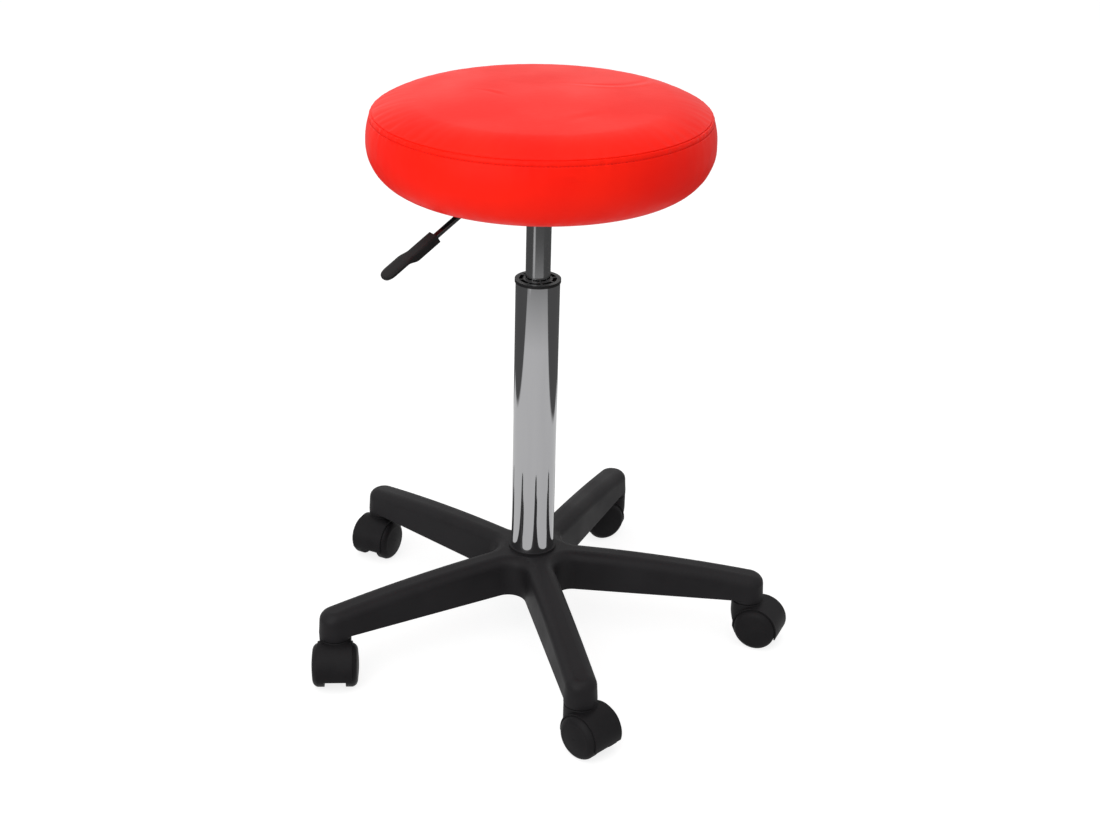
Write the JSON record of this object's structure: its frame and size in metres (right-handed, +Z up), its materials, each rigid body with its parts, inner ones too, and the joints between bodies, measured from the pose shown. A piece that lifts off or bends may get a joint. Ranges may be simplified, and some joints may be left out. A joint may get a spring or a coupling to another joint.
{
  "type": "office stool",
  "caption": "Height-adjustable round padded stool on a gas column, with a release lever, a moulded star base and twin-wheel swivel casters.",
  "frame": {"origin": "on the floor under the column axis", "axes": "+Z up along the column; the front arm of the base points along -Y; the release lever lies 201 degrees from +X, seen from above"},
  "size_m": [0.5691, 0.5401, 0.6545],
  "materials": {
    "black_nylon": "injection-moulded glass-filled nylon, fine grain, satin",
    "caster_nylon": "injection-moulded nylon, smooth satin",
    "zinc_steel": "bright zinc plate",
    "bearing_cage": "natural acetal, smooth",
    "column_chrome": "polished chrome plate",
    "cylinder_finish": "black chrome plate, polished",
    "ground_steel": "ground and polished steel",
    "valve_alloy": "turned aluminium",
    "buffer_rubber": "moulded rubber",
    "black_steel": "black powder coat, satin",
    "gloss_rod": "black enamel, glossy",
    "paddle_plastic": "moulded plastic, fine matt grain",
    "plywood": "sanded birch plywood",
    "cushion_foam": "open-cell polyurethane foam",
    "red_cover": "red coated upholstery cloth, fine leather grain, soft sheen",
    "dust_cloth": "black non-woven cloth"
  },
  "bodies": {
    "base": {"star_base": "black_nylon", "hub_ring": "zinc_steel", "column_tube": "column_chrome", "guide_bush": "black_nylon", "bearing_lower_washer": "zinc_steel", "bearing_race": "bearing_cage", "grip_rings": "zinc_steel", "caster_stem_1": "zinc_steel", "caster_stem_2": "zinc_steel", "caster_stem_3": "zinc_steel", "caster_stem_4": "zinc_steel", "caster_stem_5": "zinc_steel"},
    "rod": {"piston_rod": "ground_steel", "piston": "bearing_cage", "buffer": "buffer_rubber", "bearing_upper_washer": "zinc_steel", "foot_washer": "zinc_steel", "retaining_clip": "zinc_steel"},
    "seat": {"pressure_cylinder": "cylinder_finish", "inner_tube": "ground_steel", "rod_guide": "bearing_cage", "valve_body": "valve_alloy", "taper_socket": "black_steel", "seat_plate": "black_steel", "lever_bracket": "black_steel", "pivot_pin": "zinc_steel", "plate_bolts": "zinc_steel", "plate_washers": "zinc_steel", "tee_nuts": "zinc_steel", "seat_board": "plywood", "seat_foam": "cushion_foam", "top_panel": "red_cover", "side_band": "red_cover", "dust_cover": "dust_cloth"},
    "lever": {"lever_rod": "gloss_rod", "lever_paddle": "paddle_plastic"},
    "pin": {"release_pin": "ground_steel"},
    "caster_1": {"caster_hood_1": "caster_nylon", "caster_axle_1": "zinc_steel"},
    "wheel_l1": {"wheel_left_1": "caster_nylon"},
    "wheel_r1": {"wheel_right_1": "caster_nylon"},
    "caster_2": {"caster_hood_2": "caster_nylon", "caster_axle_2": "zinc_steel"},
    "wheel_l2": {"wheel_left_2": "caster_nylon"},
    "wheel_r2": {"wheel_right_2": "caster_nylon"},
    "caster_3": {"caster_hood_3": "caster_nylon", "caster_axle_3": "zinc_steel"},
    "wheel_l3": {"wheel_left_3": "caster_nylon"},
    "wheel_r3": {"wheel_right_3": "caster_nylon"},
    "caster_4": {"caster_hood_4": "caster_nylon", "caster_axle_4": "zinc_steel"},
    "wheel_l4": {"wheel_left_4": "caster_nylon"},
    "wheel_r4": {"wheel_right_4": "caster_nylon"},
    "caster_5": {"caster_hood_5": "caster_nylon", "caster_axle_5": "zinc_steel"},
    "wheel_l5": {"wheel_left_5": "caster_nylon"},
    "wheel_r5": {"wheel_right_5": "caster_nylon"}
  },
  "joints": [
    {"name": "seat_swivel", "type": "hinge", "parent": "base", "child": "rod", "pos_m": [0, 0, 0.0676], "axis": [0, 0, 1], "continuous": true},
    {"name": "height_slide", "type": "slide", "parent": "rod", "child": "seat", "axis": [0, 0, 1], "range_m": [-0.06, 0.14]},
    {"name": "lever_lift", "type": "hinge", "parent": "seat", "child": "lever", "pos_m": [-0.03734, -0.01434, 0.5391], "axis": [-0.3584, 0.9336, 0], "range_deg": [0, 3.5], "stiffness_Nm_per_rad": 3},
    {"name": "release_pin_travel", "type": "slide", "parent": "seat", "child": "pin", "axis": [0, 0, -1], "range_m": [0, 0.0025]},
    {"name": "caster_swivel_1", "type": "hinge", "parent": "base", "child": "caster_1", "pos_m": [0, -0.258, 0.053], "axis": [0, 0, 1], "continuous": true},
    {"name": "wheel_left_roll_1", "type": "hinge", "parent": "caster_1", "child": "wheel_l1", "pos_m": [0.00926, -0.27226, 0.025], "axis": [0.8387, 0.5446, 0], "continuous": true},
    {"name": "wheel_right_roll_1", "type": "hinge", "parent": "caster_1", "child": "wheel_r1", "pos_m": [0.00926, -0.27226, 0.025], "axis": [0.8387, 0.5446, 0], "continuous": true},
    {"name": "caster_swivel_2", "type": "hinge", "parent": "base", "child": "caster_2", "pos_m": [0.24537, -0.07973, 0.053], "axis": [0, 0, 1], "continuous": true},
    {"name": "wheel_left_roll_2", "type": "hinge", "parent": "caster_2", "child": "wheel_l2", "pos_m": [0.25913, -0.08972, 0.025], "axis": [0.5878, 0.809, 0], "continuous": true},
    {"name": "wheel_right_roll_2", "type": "hinge", "parent": "caster_2", "child": "wheel_r2", "pos_m": [0.25913, -0.08972, 0.025], "axis": [0.5878, 0.809, 0], "continuous": true},
    {"name": "caster_swivel_3", "type": "hinge", "parent": "base", "child": "caster_3", "pos_m": [0.15165, 0.20873, 0.053], "axis": [0, 0, 1], "continuous": true},
    {"name": "wheel_left_roll_3", "type": "hinge", "parent": "caster_3", "child": "wheel_l3", "pos_m": [0.13502, 0.20519, 0.025], "axis": [0.2079, -0.9781, 0], "continuous": true},
    {"name": "wheel_right_roll_3", "type": "hinge", "parent": "caster_3", "child": "wheel_r3", "pos_m": [0.13502, 0.20519, 0.025], "axis": [0.2079, -0.9781, 0], "continuous": true},
    {"name": "caster_swivel_4", "type": "hinge", "parent": "base", "child": "caster_4", "pos_m": [-0.15165, 0.20873, 0.053], "axis": [0, 0, 1], "continuous": true},
    {"name": "wheel_left_roll_4", "type": "hinge", "parent": "caster_4", "child": "wheel_l4", "pos_m": [-0.16235, 0.19551, 0.025], "axis": [0.7771, -0.6293, 0], "continuous": true},
    {"name": "wheel_right_roll_4", "type": "hinge", "parent": "caster_4", "child": "wheel_r4", "pos_m": [-0.16235, 0.19551, 0.025], "axis": [0.7771, -0.6293, 0], "continuous": true},
    {"name": "caster_swivel_5", "type": "hinge", "parent": "base", "child": "caster_5", "pos_m": [-0.24537, -0.07973, 0.053], "axis": [0, 0, 1], "continuous": true},
    {"name": "wheel_left_roll_5", "type": "hinge", "parent": "caster_5", "child": "wheel_l5", "pos_m": [-0.24803, -0.09652, 0.025], "axis": [0.9877, -0.1564, 0], "continuous": true},
    {"name": "wheel_right_roll_5", "type": "hinge", "parent": "caster_5", "child": "wheel_r5", "pos_m": [-0.24803, -0.09652, 0.025], "axis": [0.9877, -0.1564, 0], "continuous": true}
  ],
  "couplings": [
    {"joint": "release_pin_travel", "follows": "lever_lift", "m_per_rad": 0.04}
  ]
}
